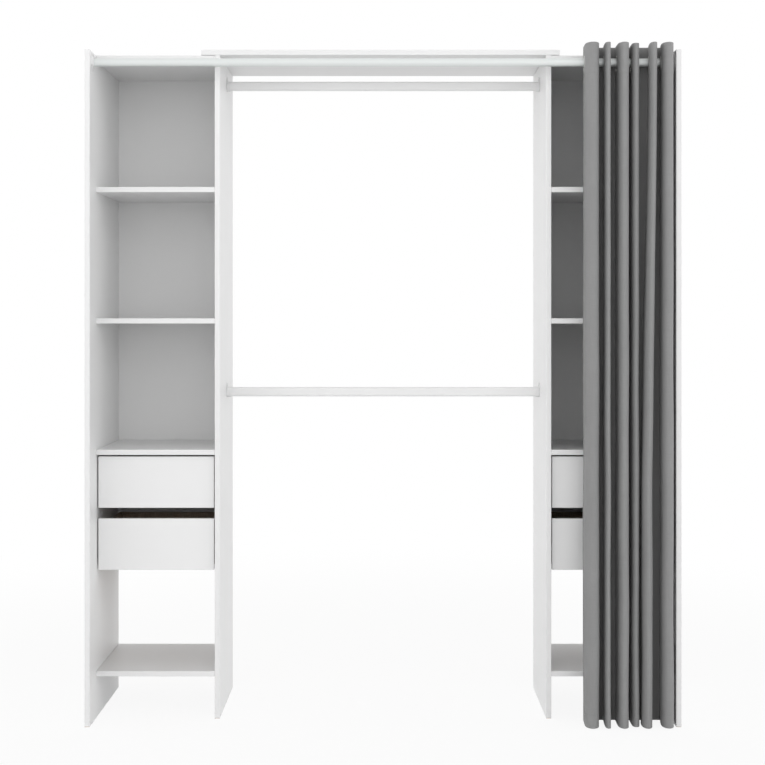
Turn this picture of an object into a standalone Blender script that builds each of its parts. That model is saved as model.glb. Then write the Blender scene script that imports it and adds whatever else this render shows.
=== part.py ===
"""Curtain wardrobe: two open board columns with drawers, a top board and two
hanging rods across the gap between them, and an eyelet curtain on a rail.

Metres. +X is to the right, +Y to the back, +Z up. The origin is on the floor,
in the middle of the wardrobe's width and depth.
"""

import math

import bmesh
import bpy
from mathutils import Matrix, Vector

# Boards and the gap left between pieces that touch
board = 0.016
edge_bevel = 0.0008
fit = 0.0003
overrun = 0.004

# Carcass
overall_width = 1.792
column_width = 0.396
side_height = 2.034
outer_depth = 0.500
curtain_space = 0.100
top_panel_drop = 0.001
back_thickness = 0.003
back_inset = 0.002
top_board_overlap = 0.050
top_board_shift = -0.008

# Heights inside a column, from the floor up
toe_clear = 0.129
boot_space = 0.308
shelf_levels = ("lower", "middle", "upper")

# Cam fittings of the fixed boards, and screws of the top board
cam_bore = 0.015
cam_depth = 0.0125
cam_end_distance = 0.034
cam_edge_distance = 0.050

# Drawers
drawer_levels = ("lower", "upper")
drawer_front_height = 0.158
drawer_front_side_gap = 0.004
drawer_front_top_gap = 0.006
finger_gap = 0.033
drawer_front_recess = 0.016
drawer_wall = 0.012
drawer_box_drop = 0.025
drawer_box_lift = 0.010
drawer_back_space = 0.018
drawer_bottom_thickness = 0.003
drawer_bottom_groove = 0.005
drawer_bottom_lift = 0.008

# Drawer runners
runner_space = 0.008
runner_height = 0.017
runner_clearance = 0.0008
runner_front_gap = 0.006
runner_back_gap = 0.012
tongue_height = 0.008
tongue_reach = 0.005
runner_level_share = 0.45

# Hanging rods and their brackets
rod_height = 0.030
rod_width = 0.015
rod_wall = 0.001
upper_rod_drop = 0.065
lower_rod_level = 0.993
bracket_plate = 0.0025
bracket_grip = 0.010
bracket_wall = 0.002
bracket_rise = 0.014
bracket_side_share = 0.72
screw_hole = 0.0044
screw_head = 0.0080

# Curtain rail and its sockets
rail_diameter = 0.025
rail_wall = 0.001
rail_drop = 0.033
rail_setback = 0.040
socket_flange = 0.055
socket_flange_thickness = 0.002
socket_collar_wall = 0.0025
socket_length = 0.0065
socket_bevel = 0.0008
socket_screws = 3

# Curtain, from the fold beside the right panel to the leading fold
cloth = 0.002
curtain_rise = 0.0175
curtain_floor_gap = 0.003
fold_front_reach = 0.070
fold_wall_reach = 0.034
fold_back_reach = 0.0325
nose_slenderness = 2.6
valley_corner = 0.004
bunch_width = 0.264
fold_width_shares = (0.130, 0.094, 0.076, 0.119, 0.058, 0.155)
fold_gap_shares = (0.087, 0.079, 0.042, 0.095, 0.065)
fold_reach_shares = (0.96, 1.0, 0.73, 1.0, 0.98, 1.0)
fold_lean_shares = (0.0, 0.066, 0.0, 0.0, 0.0, 0.0)
fold_narrowing_shares = (0.005, 0.039, 0.0, 0.0, 0.0, 0.006)
lean_start_share = 0.28
eyelet_slack = 0.015
eyelet_rim = 0.0075
eyelet_thickness = 0.0045

# Facets
curtain_levels = 6
fold_arc_steps = 10
valley_arc_steps = 2
cam_sides = 16
eyelet_sides = 16
rail_sides = 24
rod_arc_steps = 8
screw_sides = 12

# Finishes: colour, roughness, metallic
white_board = ((0.84, 0.84, 0.84), 0.45, 0.0)
white_front = ((0.80, 0.80, 0.79), 0.45, 0.0)
taupe_wrap = ((0.39, 0.31, 0.24), 0.50, 0.0)
white_hardboard = ((0.74, 0.74, 0.74), 0.55, 0.0)
white_tube = ((0.80, 0.81, 0.81), 0.30, 0.1)
white_plastic = ((0.82, 0.82, 0.82), 0.40, 0.0)
grey_cloth = ((0.30, 0.30, 0.30), 0.90, 0.0)

# Sizes that follow from the ones above
side_x = overall_width / 2
gap_x = side_x - column_width
column_inner_low = gap_x + board
column_inner_high = side_x - board
column_middle_x = (column_inner_low + column_inner_high) / 2
column_inner_width = column_inner_high - column_inner_low
front_most = rail_setback - fold_front_reach
back_most = outer_depth + fit + back_thickness
front_y = -(front_most + back_most) / 2
column_front_y = front_y + curtain_space
back_y = front_y + outer_depth
rail_y = front_y + rail_setback
rail_z = side_height - rail_drop
rod_y = (column_front_y + back_y) / 2
bottom_shelf_top = toe_clear + board
drawers_bottom = bottom_shelf_top + boot_space
drawer_pitch = drawer_front_height + finger_gap
drawers_top = drawers_bottom + len(drawer_levels) * drawer_pitch - finger_gap
lower_shelf_top = drawers_top + drawer_front_top_gap + board
top_panel_top = side_height - top_panel_drop
shelf_pitch = (top_panel_top - lower_shelf_top) / len(shelf_levels)
drawer_front_width = column_inner_width - 2 * drawer_front_side_gap
drawer_box_width = column_inner_width - 2 * runner_space
drawer_box_height = drawer_front_height - drawer_box_drop - drawer_box_lift
drawer_face_y = column_front_y + drawer_front_recess
drawer_box_front = board + fit
drawer_box_back = back_y - drawer_back_space - drawer_face_y
tongue_level = drawer_box_lift + runner_level_share * drawer_box_height
groove_slack = fit + runner_clearance
eyelet_bore = rail_diameter + eyelet_slack
eyelet_z = rail_z + rail_diameter / 2 + fit - eyelet_bore / 2
bunch_side_gap = socket_length + 2 * fit + (eyelet_thickness - cloth) / 2
fold_back_y = rail_y + fold_back_reach
curtain_top = side_height + curtain_rise


def clear_scene():
    for item in list(bpy.data.objects):
        bpy.data.objects.remove(item, do_unlink=True)


def make_material(name, finish):
    colour, roughness, metallic = finish
    material = bpy.data.materials.new(name)
    material.use_nodes = True
    shader = material.node_tree.nodes["Principled BSDF"]
    shader.inputs["Base Color"].default_value = (*colour, 1.0)
    shader.inputs["Roughness"].default_value = roughness
    shader.inputs["Metallic"].default_value = metallic
    return material


def add_piece(name, mesh, finish, location=(0, 0, 0), parent=None, turn=0.0):
    """An object of its own for a piece, with its own material, on a mesh that copies may share."""
    piece = bpy.data.objects.new(name, mesh)
    bpy.context.scene.collection.objects.link(piece)
    if not mesh.materials:
        mesh.materials.append(None)
    piece.material_slots[0].link = "OBJECT"
    piece.material_slots[0].material = make_material(name + "_finish", finish)
    piece.location = location
    piece.rotation_euler.z = turn
    piece.parent = parent
    return piece


def mesh_from(name, build):
    """The mesh that a building function makes in bmesh, with its faces pointing outwards."""
    bm = bmesh.new()
    build(bm)
    bmesh.ops.recalc_face_normals(bm, faces=bm.faces)
    mesh = bpy.data.meshes.new(name)
    bm.to_mesh(mesh)
    bm.free()
    return mesh


def box_mesh(name, low, high, bevel=0.0):
    """A box between two corners, with a chamfer along all its edges if bevel is given."""

    def build(bm):
        bmesh.ops.create_cube(bm, size=1.0)
        for vertex in bm.verts:
            for axis in range(3):
                vertex.co[axis] = high[axis] if vertex.co[axis] > 0 else low[axis]
        if bevel:
            bmesh.ops.bevel(
                bm, geom=bm.edges[:], offset=bevel, segments=1, affect="EDGES", clamp_overlap=True
            )

    return mesh_from(name, build)


def extruded_mesh(name, outline, place, low, high):
    """A closed outline drawn out from low to high. place turns (across, up, along) into a point."""

    def build(bm):
        start = [bm.verts.new(place(across, up, low)) for across, up in outline]
        end = [bm.verts.new(place(across, up, high)) for across, up in outline]
        bm.faces.new(start)
        bm.faces.new(end)
        for i in range(len(outline)):
            j = (i + 1) % len(outline)
            bm.faces.new((start[i], start[j], end[j], end[i]))

    return mesh_from(name, build)


def turned_mesh(name, profile, sides):
    """A profile of (along X, radius) points turned round the X axis."""

    def build(bm):
        points = [bm.verts.new((along, 0, radius)) for along, radius in profile]
        edges = [bm.edges.new(pair) for pair in zip(points, points[1:])]
        bmesh.ops.spin(
            bm,
            geom=points + edges,
            cent=(0, 0, 0),
            axis=(1, 0, 0),
            angle=math.tau,
            steps=sides,
            use_merge=True,
        )
        bmesh.ops.remove_doubles(bm, verts=bm.verts, dist=fit / 10)

    return mesh_from(name, build)


def combined(mesh, tools, operation):
    """The mesh after each tool mesh in turn is cut from it or joined to it."""
    scene = bpy.context.scene.collection.objects
    blank = bpy.data.objects.new("blank", mesh)
    scene.link(blank)
    helpers = []
    for tool in tools:
        helper = bpy.data.objects.new("tool", tool)
        scene.link(helper)
        helpers.append(helper)
        step = blank.modifiers.new("step", "BOOLEAN")
        step.operation = operation
        step.solver = "EXACT"
        step.object = helper
    graph = bpy.context.evaluated_depsgraph_get()
    result = bpy.data.meshes.new_from_object(blank.evaluated_get(graph))
    result.name = mesh.name
    for helper in helpers + [blank]:
        bpy.data.objects.remove(helper)
    return result


def smooth(mesh, angle=math.radians(35)):
    mesh.shade_smooth()
    mesh.set_sharp_from_angle(angle=angle)
    return mesh


def arc(centre, radii, start, end, steps):
    """Points along an elliptic arc, both ends included."""
    angles = [start + (end - start) * i / steps for i in range(steps + 1)]
    return [(centre[0] + radii[0] * math.cos(a), centre[1] + radii[1] * math.sin(a)) for a in angles]


def obround(width, height, steps):
    """The outline of an upright slot shape, as wide as its round ends."""
    radius = width / 2
    rise = height / 2 - radius
    top = arc((0, rise), (radius, radius), 0, math.pi, steps)
    bottom = arc((0, -rise), (radius, radius), math.pi, math.tau, steps)
    return top + bottom


def along_x(across, up, along):
    return (along, across, up)


def along_y(across, up, along):
    return (across, along, up)


def upright(across, deep, along):
    return (across, deep, along)


def add_board(name, low, high, finish, cuts=()):
    """A board between two corners, less the cutters, which are placed from its centre."""
    centre = [(a + b) / 2 for a, b in zip(low, high)]
    half = [(b - a) / 2 for a, b in zip(low, high)]
    mesh = box_mesh(name, [-h for h in half], half, edge_bevel)
    if cuts:
        mesh = combined(mesh, cuts, "DIFFERENCE")
    return add_piece(name, mesh, finish, centre)


def across_column(side, inner, outer):
    """The X span between two distances from the middle, on the left or the right side."""
    return sorted((side * inner, side * outer))


def add_side_panels(word, side):
    low_x, high_x = across_column(side, column_inner_high, side_x)
    add_board(
        word + "_outer_panel", (low_x, front_y, 0), (high_x, back_y, side_height), white_board
    )
    low_x, high_x = across_column(side, gap_x, column_inner_low)
    add_board(
        word + "_divider", (low_x, column_front_y, 0), (high_x, back_y, side_height), white_board
    )


def cam_bores(width, depth, face):
    """Cutters for a board's four cam fittings, in its top (face 1) or its underside (face -1)."""
    x = width / 2 - cam_end_distance
    y = depth / 2 - cam_edge_distance
    span = sorted((face * (board / 2 - cam_depth), face * (board / 2 + overrun)))
    tools = []
    for spot in ((-x, -y), (x, -y), (-x, y), (x, y)):
        outline = arc(spot, (cam_bore / 2,) * 2, 0, math.tau, cam_sides)[:-1]
        tools.append(extruded_mesh("cam_bore", outline, upright, *span))
    return tools


def add_column_boards(word, side):
    """The boards between a divider and its outer panel, with their cams on the unseen face."""
    low_x, high_x = across_column(side, column_inner_low + fit, column_inner_high - fit)
    boards = [("_shelf_bottom", bottom_shelf_top, -1), ("_top_panel", top_panel_top, 1)]
    for row, level in enumerate(shelf_levels):
        boards.append(("_shelf_" + level, lower_shelf_top + row * shelf_pitch, 1 if row else -1))
    for part, top, face in boards:
        low = (low_x, column_front_y, top - board)
        high = (high_x, back_y, top)
        bores = cam_bores(high_x - low_x, back_y - column_front_y, face)
        add_board(word + part, low, high, white_board, bores)


def add_back_panel(word, side):
    """The thin back on the rear edges, from the lower drawer up."""
    low_x, high_x = across_column(side, gap_x + back_inset, side_x - back_inset)
    centre = ((low_x + high_x) / 2, back_y + fit + back_thickness / 2, 0)
    half = (high_x - low_x) / 2
    low = (-half, -back_thickness / 2, drawers_bottom)
    high = (half, back_thickness / 2, side_height - back_inset)
    mesh = box_mesh(word + "_back_panel", low, high)
    add_piece(word + "_back_panel", mesh, white_hardboard, centre)


def add_top_board():
    """The loose board across the gap, laid on both dividers and screwed down into them."""
    half = gap_x + top_board_overlap
    low = (top_board_shift - half, column_front_y, side_height + fit)
    high = (top_board_shift + half, back_y, side_height + fit + board)
    screws = []
    for x in (-gap_x - board / 2, gap_x + board / 2):
        for y in (column_front_y + cam_edge_distance, back_y - cam_edge_distance):
            head = (x - top_board_shift, y - rod_y, board / 2)
            screws.append(screw_tool(head, (0, 0, -1), board))
    add_board("top_board", low, high, white_board, screws)


def bottom_slot_mesh():
    """The space of a drawer's bottom panel with its clearance, as a cutter for front and box."""
    half = drawer_box_width / 2 - drawer_wall + drawer_bottom_groove
    low_z = drawer_box_lift + drawer_bottom_lift - fit
    low = (-half, board - drawer_bottom_groove, low_z)
    high_y = drawer_box_back - drawer_wall + drawer_bottom_groove
    high = (half, high_y, low_z + drawer_bottom_thickness + 2 * fit)
    return box_mesh("bottom_slot", low, high)


def drawer_front_mesh():
    """A drawer's front, with the groove for the bottom panel across its back."""
    half = drawer_front_width / 2
    blank = box_mesh("drawer_front", (-half, 0, 0), (half, board, drawer_front_height), edge_bevel)
    return combined(blank, [bottom_slot_mesh()], "DIFFERENCE")


def drawer_box_mesh():
    """Sides and back of a drawer, folded from one wrapped strip.

    The outer faces have a groove for the runner, open at the back, and the
    inner faces a groove for the bottom panel.
    """
    outer = drawer_box_width / 2
    inner = outer - drawer_wall
    inner_back = drawer_box_back - drawer_wall
    outline = [
        (-outer, drawer_box_front),
        (-inner, drawer_box_front),
        (-inner, inner_back),
        (inner, inner_back),
        (inner, drawer_box_front),
        (outer, drawer_box_front),
        (outer, drawer_box_back),
        (-outer, drawer_box_back),
    ]
    top = drawer_box_lift + drawer_box_height
    blank = extruded_mesh("drawer_box", outline, upright, drawer_box_lift, top)
    low_z = tongue_level - tongue_height / 2 - groove_slack
    high_z = tongue_level + tongue_height / 2 + fit
    low_y = drawer_box_front - overrun
    high_y = drawer_box_back + overrun
    cutters = [bottom_slot_mesh()]
    for side in (-1, 1):
        low_x, high_x = across_column(side, outer - tongue_reach - fit, outer + overrun)
        cutters.append(box_mesh("runner_groove", (low_x, low_y, low_z), (high_x, high_y, high_z)))
    return combined(blank, cutters, "DIFFERENCE")


def drawer_bottom_mesh():
    """A drawer's thin bottom panel, held in the grooves of the front, the sides and the back."""
    half = drawer_box_width / 2 - drawer_wall + drawer_bottom_groove - fit
    low_z = drawer_box_lift + drawer_bottom_lift
    low = (-half, board - drawer_bottom_groove + fit, low_z)
    high_y = drawer_box_back - drawer_wall + drawer_bottom_groove - fit
    return box_mesh("drawer_bottom", low, (half, high_y, low_z + drawer_bottom_thickness))


def runner_mesh():
    """A plastic runner whose back is on a board at X 0 and whose tongue points along +X."""
    plate = runner_space - fit - runner_clearance
    tip = plate + runner_clearance + tongue_reach
    outline = [
        (0, -runner_height / 2),
        (plate, -runner_height / 2),
        (plate, -tongue_height / 2),
        (tip, -tongue_height / 2),
        (tip, tongue_height / 2),
        (plate, tongue_height / 2),
        (plate, runner_height / 2),
        (0, runner_height / 2),
    ]
    half = (drawer_box_back - drawer_box_front - runner_front_gap - runner_back_gap) / 2
    return extruded_mesh("runner", outline, along_y, -half, half)


def add_drawers(word, side):
    """The drawers of one column, each on an empty that slides along Y, with its two runners."""
    front, box, bottom = drawer_front_mesh(), drawer_box_mesh(), drawer_bottom_mesh()
    runner = runner_mesh()
    runner_y = (drawer_box_front + runner_front_gap + drawer_box_back - runner_back_gap) / 2
    for row, level in enumerate(drawer_levels):
        name = f"{word}_drawer_{level}"
        place = (side * column_middle_x, drawer_face_y, drawers_bottom + row * drawer_pitch)
        slide = bpy.data.objects.new(name + "_slide", None)
        slide.location = place
        bpy.context.scene.collection.objects.link(slide)
        add_piece(name + "_front", front, white_front, parent=slide)
        add_piece(name + "_box", box, taupe_wrap, parent=slide)
        add_piece(name + "_bottom", bottom, white_hardboard, parent=slide)
        for end, x, facing in (
            ("inner", column_inner_low + fit, side),
            ("outer", column_inner_high - fit, -side),
        ):
            spot = (side * x, drawer_face_y + runner_y, place[2] + tongue_level)
            turn = 0.0 if facing > 0 else math.pi
            add_piece(f"{name}_runner_{end}", runner, white_plastic, spot, turn=turn)


def tube_mesh(name, outer, inner, half_length):
    """A tube along X whose outer and inner outlines have as many points."""

    def build(bm):
        rings = []
        for x, outline in (
            (-half_length, outer),
            (half_length, outer),
            (half_length, inner),
            (-half_length, inner),
        ):
            rings.append([bm.verts.new(along_x(across, up, x)) for across, up in outline])
        for first, second in zip(rings, rings[1:] + rings[:1]):
            for i in range(len(outer)):
                j = (i + 1) % len(outer)
                bm.faces.new((first[i], first[j], second[j], second[i]))

    return smooth(mesh_from(name, build))


def screw_tool(head, direction, depth):
    """A countersunk screw hole through a plate, from its head on the surface, as a cutter."""
    sink = (screw_head - screw_hole) / 2
    profile = [
        (-overrun, 0),
        (-overrun, screw_head / 2 + fit),
        (-fit, screw_head / 2 + fit),
        (sink, screw_hole / 2),
        (depth + overrun, screw_hole / 2),
        (depth + overrun, 0),
    ]
    tool = turned_mesh("screw_tool", profile, screw_sides)
    turn = Vector(direction).to_track_quat("X", "Z").to_matrix().to_4x4()
    tool.transform(Matrix.Translation(head) @ turn)
    return tool


def rod_bracket_mesh():
    """A cradle for a rod's end, against a board at X 0 and open to +X, screwed on above the rod."""
    outer_half = rod_width / 2 + fit + bracket_wall
    inner_half = rod_width / 2 + fit
    low_centre = -rod_height / 2 + rod_width / 2
    side_top = rod_height * (bracket_side_share - 1 / 2)
    plate_top = rod_height / 2 + bracket_rise - outer_half
    plate = arc((0, plate_top), (outer_half, outer_half), 0, math.pi, rod_arc_steps)
    plate += arc((0, low_centre), (outer_half, outer_half), math.pi, math.tau, rod_arc_steps)
    cradle = [(outer_half, side_top), (inner_half, side_top)]
    cradle += arc((0, low_centre), (inner_half, inner_half), 0, -math.pi, rod_arc_steps)
    cradle += [(-inner_half, side_top), (-outer_half, side_top)]
    cradle += arc((0, low_centre), (outer_half, outer_half), -math.pi, 0, rod_arc_steps)
    base = extruded_mesh("rod_bracket", plate, along_x, 0, bracket_plate)
    grip = extruded_mesh("rod_grip", cradle, along_x, bracket_plate / 2, bracket_plate + bracket_grip)
    joined = combined(base, [grip], "UNION")
    head = (bracket_plate, 0, rod_height / 2 + bracket_rise / 2)
    hole = screw_tool(head, (-1, 0, 0), bracket_plate)
    return smooth(combined(joined, [hole], "DIFFERENCE"))


def add_rods():
    """Two oval rods across the gap, each in a bracket on either divider."""
    half = gap_x - 2 * fit - bracket_plate
    outer = obround(rod_width, rod_height, rod_arc_steps)
    inner = obround(rod_width - 2 * rod_wall, rod_height - 2 * rod_wall, rod_arc_steps)
    bracket = rod_bracket_mesh()
    levels = {"upper": side_height - upper_rod_drop, "lower": lower_rod_level}
    for word, level in levels.items():
        rod = tube_mesh(word + "_rod", outer, inner, half)
        add_piece(word + "_rod", rod, white_tube, (0, rod_y, level))
        for end, side in (("left", -1), ("right", 1)):
            place = (side * (gap_x - fit), rod_y, level)
            turn = 0.0 if side < 0 else math.pi
            add_piece(f"{word}_rod_bracket_{end}", bracket, white_plastic, place, turn=turn)


def rail_socket_mesh():
    """A flanged cup for the rail's end, against a panel at X 0 and open to +X."""
    flange = socket_flange / 2
    bore = (rail_diameter / 2 + fit) / math.cos(math.pi / rail_sides)
    collar = bore + socket_collar_wall
    floor = socket_flange_thickness
    profile = [
        (0, 0),
        (0, flange),
        (floor - socket_bevel, flange),
        (floor, flange - socket_bevel),
        (floor, collar),
        (socket_length - socket_bevel, collar),
        (socket_length, collar - socket_bevel),
        (socket_length, bore),
        (floor, bore),
        (floor, 0),
    ]
    cup = turned_mesh("rail_socket", profile, rail_sides)
    cup.transform(Matrix.Rotation(math.pi / rail_sides, 4, "X"))
    tools = []
    for i in range(socket_screws):
        angle = math.pi / 2 + math.tau * i / socket_screws
        reach = (flange + collar) / 2
        head = (floor, reach * math.cos(angle), reach * math.sin(angle))
        tools.append(screw_tool(head, (-1, 0, 0), floor))
    return smooth(combined(cup, tools, "DIFFERENCE"))


def add_rail():
    """The round curtain rail between the outer panels, in a socket at each end."""
    half = column_inner_high - 2 * fit - socket_flange_thickness
    outer = arc((0, 0), (rail_diameter / 2,) * 2, 0, math.tau, rail_sides)[:-1]
    bore = rail_diameter / 2 - rail_wall
    inner = arc((0, 0), (bore, bore), 0, math.tau, rail_sides)[:-1]
    rail = tube_mesh("curtain_rail", outer, inner, half)
    add_piece("curtain_rail", rail, white_tube, (0, rail_y, rail_z))
    socket = rail_socket_mesh()
    for end, side in (("left", -1), ("right", 1)):
        place = (side * (column_inner_high - fit), rail_y, rail_z)
        turn = 0.0 if side < 0 else math.pi
        add_piece("rail_socket_" + end, socket, white_plastic, place, turn=turn)


def gentle(share):
    """A share from 0 to 1 that leaves 0 and reaches 1 gently."""
    share = min(max(share, 0), 1)
    return share * share * (3 - 2 * share)


def fold_edges(rise_share):
    """The right and left edge of each fold at a height, from the fold beside the panel on."""
    edges = []
    x = column_inner_high - bunch_side_gap
    lean_share = gentle((rise_share - lean_start_share) / (1 - lean_start_share)) - 1 / 2
    for number, width in enumerate(fold_width_shares):
        shift = bunch_width * fold_lean_shares[number] * lean_share
        pinch = bunch_width * fold_narrowing_shares[number] * lean_share / 2
        edges.append((x + shift - pinch, x + shift - bunch_width * width + pinch))
        x -= bunch_width * width
        if number < len(fold_gap_shares):
            x -= bunch_width * fold_gap_shares[number]
    return edges


def fold_path(number, rise_share):
    """A fold's line in plan at a height, as (point, outward normal), from its right end to its left.

    It comes round the corner of the valley beside it, runs forward along the
    right wall, round the nose and back along the left wall into the next
    valley. The two ends of the curtain have no valley, and there the wall ends.
    """
    edges = fold_edges(rise_share)
    right, left = (edges[number][0] - cloth / 2, edges[number][1] + cloth / 2)
    back = fold_back_y - cloth / 2
    half = (right - left) / 2
    reach = fold_front_reach * fold_reach_shares[number] - cloth / 2
    nose = min(nose_slenderness * half, reach - fold_wall_reach)
    path = []
    if number > 0:
        path += valley((edges[number][0] + edges[number - 1][1]) / 2, right, back, 1)
    else:
        path.append(((right, back), (1, 0)))
    for across, ahead in arc((0, 0), (1, 1), 0, -math.pi, fold_arc_steps):
        point = (left + half + half * across, rail_y - reach + nose + nose * ahead)
        steepness = math.hypot(nose * across, half * ahead)
        path.append((point, (nose * across / steepness, half * ahead / steepness)))
    if number < len(edges) - 1:
        path += valley((edges[number][1] + edges[number + 1][0]) / 2, left, back, -1)[::-1]
    else:
        path.append(((left, back), (-1, 0)))
    return path


def valley(middle, wall, back, side):
    """From a valley's middle round its corner to the wall on its left (side 1) or right (-1)."""
    points = [((middle - side * fit / 2, back), (0, -1))]
    for i in range(valley_arc_steps + 1):
        angle = math.pi / 2 * (1 + side * i / valley_arc_steps)
        along, out = math.cos(angle), math.sin(angle)
        spot = (wall + valley_corner * (side + along), back + valley_corner * (out - 1))
        points.append((spot, (-along, -out)))
    return points


def fold_blank_mesh(number):
    """The cloth of one fold as a closed strip, from the hem to the top."""

    def build(bm):
        levels = []
        for step in range(curtain_levels + 1):
            rise_share = step / curtain_levels
            z = curtain_floor_gap + (curtain_top - curtain_floor_gap) * rise_share
            outer, inner = [], []
            for (x, y), (nx, ny) in fold_path(number, rise_share):
                outer.append(bm.verts.new((x + nx * cloth / 2, y + ny * cloth / 2, z)))
                inner.append(bm.verts.new((x - nx * cloth / 2, y - ny * cloth / 2, z)))
            levels.append(outer + inner[::-1])
        for low, high in zip(levels, levels[1:]):
            for i in range(len(low)):
                j = (i + 1) % len(low)
                bm.faces.new((low[i], low[j], high[j], high[i]))
        for ring in (levels[0], levels[-1]):
            for i in range(len(ring) // 2 - 1):
                bm.faces.new((ring[i], ring[i + 1], ring[-2 - i], ring[-1 - i]))

    return mesh_from("curtain_fold", build)


def disc_tool(name, diameter, low, high):
    """A prism round the X axis through the eyelets, with a flat side on top."""
    radius = diameter / 2 / math.cos(math.pi / eyelet_sides)
    turn = math.pi / eyelet_sides
    outline = arc((rail_y, eyelet_z), (radius, radius), turn, math.tau + turn, eyelet_sides)[:-1]
    return extruded_mesh(name, outline, along_x, low, high)


def add_curtain():
    """The curtain as six folds. Each has an eyelet in either wall and hangs on the rail by both."""
    rise_share = (eyelet_z - curtain_floor_gap) / (curtain_top - curtain_floor_gap)
    ring = eyelet_bore + 2 * eyelet_rim
    for number in range(len(fold_width_shares)):
        right, left = fold_edges(rise_share)[number]
        rings = []
        for wall in (right - cloth / 2, left + cloth / 2):
            span = (wall - eyelet_thickness / 2, wall + eyelet_thickness / 2)
            rings.append(disc_tool("eyelet", ring, *span))
        joined = combined(fold_blank_mesh(number), rings, "UNION")
        bore = disc_tool("eyelet_bore", eyelet_bore, left - overrun, right + overrun)
        fold = smooth(combined(joined, [bore], "DIFFERENCE"))
        for vertex in fold.vertices:
            vertex.co.y -= rail_y
            vertex.co.z -= rail_z
        add_piece(f"curtain_fold_{number + 1}", fold, grey_cloth, (0, rail_y, rail_z))


def build_wardrobe():
    clear_scene()
    for word, side in (("left", -1), ("right", 1)):
        add_side_panels(word, side)
        add_column_boards(word, side)
        add_back_panel(word, side)
        add_drawers(word, side)
    add_top_board()
    add_rods()
    add_rail()
    add_curtain()


build_wardrobe()
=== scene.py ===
# %% [markdown]
# # An open wardrobe with an eyelet curtain
#
# Two board columns stand at the sides of a wide gap. Two oval rods and a top
# board cross the gap, and a grey curtain hangs on a round rail in front. The
# rigid pieces come finished from the CAD model. This file gives them their
# surfaces, makes the cloth that CAD only stands in for, with its eyelets and
# stitches, and adds the small fasteners.

import math
from fnmatch import fnmatch
from types import SimpleNamespace

import bpy
import numpy as np
from mathutils import Matrix, Vector


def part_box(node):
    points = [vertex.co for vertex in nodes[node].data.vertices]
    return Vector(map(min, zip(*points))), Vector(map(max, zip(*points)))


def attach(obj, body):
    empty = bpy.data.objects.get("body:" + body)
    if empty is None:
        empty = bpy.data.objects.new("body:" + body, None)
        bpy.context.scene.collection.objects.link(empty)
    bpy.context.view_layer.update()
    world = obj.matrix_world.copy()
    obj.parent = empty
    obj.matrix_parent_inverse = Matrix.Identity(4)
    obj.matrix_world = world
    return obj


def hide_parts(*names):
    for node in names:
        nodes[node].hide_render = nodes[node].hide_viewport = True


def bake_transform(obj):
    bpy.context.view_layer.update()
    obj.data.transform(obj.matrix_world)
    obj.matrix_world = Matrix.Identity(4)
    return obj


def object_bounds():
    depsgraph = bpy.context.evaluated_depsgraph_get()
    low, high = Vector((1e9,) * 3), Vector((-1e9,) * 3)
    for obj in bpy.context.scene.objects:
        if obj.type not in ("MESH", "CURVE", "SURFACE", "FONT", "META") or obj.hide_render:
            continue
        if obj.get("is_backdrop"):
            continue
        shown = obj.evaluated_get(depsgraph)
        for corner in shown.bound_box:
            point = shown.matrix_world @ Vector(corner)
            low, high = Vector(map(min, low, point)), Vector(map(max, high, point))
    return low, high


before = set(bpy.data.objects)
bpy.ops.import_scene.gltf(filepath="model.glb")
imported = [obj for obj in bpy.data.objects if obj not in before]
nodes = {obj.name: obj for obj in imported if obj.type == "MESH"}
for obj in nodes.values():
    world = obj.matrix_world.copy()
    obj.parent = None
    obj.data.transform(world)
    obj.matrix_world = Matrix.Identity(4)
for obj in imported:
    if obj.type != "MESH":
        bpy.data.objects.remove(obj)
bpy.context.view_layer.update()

# %% [markdown]
# ## Camera
#
# The photograph was taken from straight in front with a level camera, which
# keeps upright edges upright, and was then cut so that the horizon lies above
# its middle. A lens shift does the same without a tilt.

# %% Place the camera
picture_side = 765
focal_pixels = 1521.4
horizon_row = 322.6
middle_column = 383.0
camera_distance = 4.565
camera_height = 1.2139
sensor_mm = 36.0


def put(name, data):
    """A new object in the scene, at the origin."""
    made = bpy.data.objects.new(name, data)
    bpy.context.scene.collection.objects.link(made)
    return made


panel_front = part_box("left_outer_panel")[0].y
lens_data = bpy.data.cameras.new("camera")
lens_data.sensor_width = sensor_mm
lens_data.lens = sensor_mm * focal_pixels / picture_side
lens_data.shift_x = (picture_side / 2 - middle_column) / picture_side
lens_data.shift_y = (horizon_row - picture_side / 2) / picture_side
camera = put("camera", lens_data)
camera.location = (0, panel_front - camera_distance, camera_height)
camera.rotation_euler = (math.pi / 2, 0, 0)
bpy.context.scene.camera = camera
print(f"lens {lens_data.lens:.1f} mm, shift {lens_data.shift_y:.3f}")

# %% [markdown]
# ## Colours and node maths
#
# A colour is written as it looks on a screen, and one function turns it into
# the linear light that shaders want. Node trees are easier to read as
# formulas than as lists of links, so a field below is one socket of a tree,
# and adding or multiplying fields adds the Math nodes.


# %% Colours
def paint(red, green, blue):
    """A screen colour, 0 to 255 a channel, as linear light with full alpha."""

    def linear(channel):
        share = channel / 255
        return share / 12.92 if share <= 0.04045 else ((share + 0.055) / 1.055) ** 2.4

    return (linear(red), linear(green), linear(blue), 1.0)


def grey(level):
    """A neutral screen grey."""
    return paint(level, level, level)


print("mid grey as linear light:", round(grey(128)[0], 3))


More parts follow.
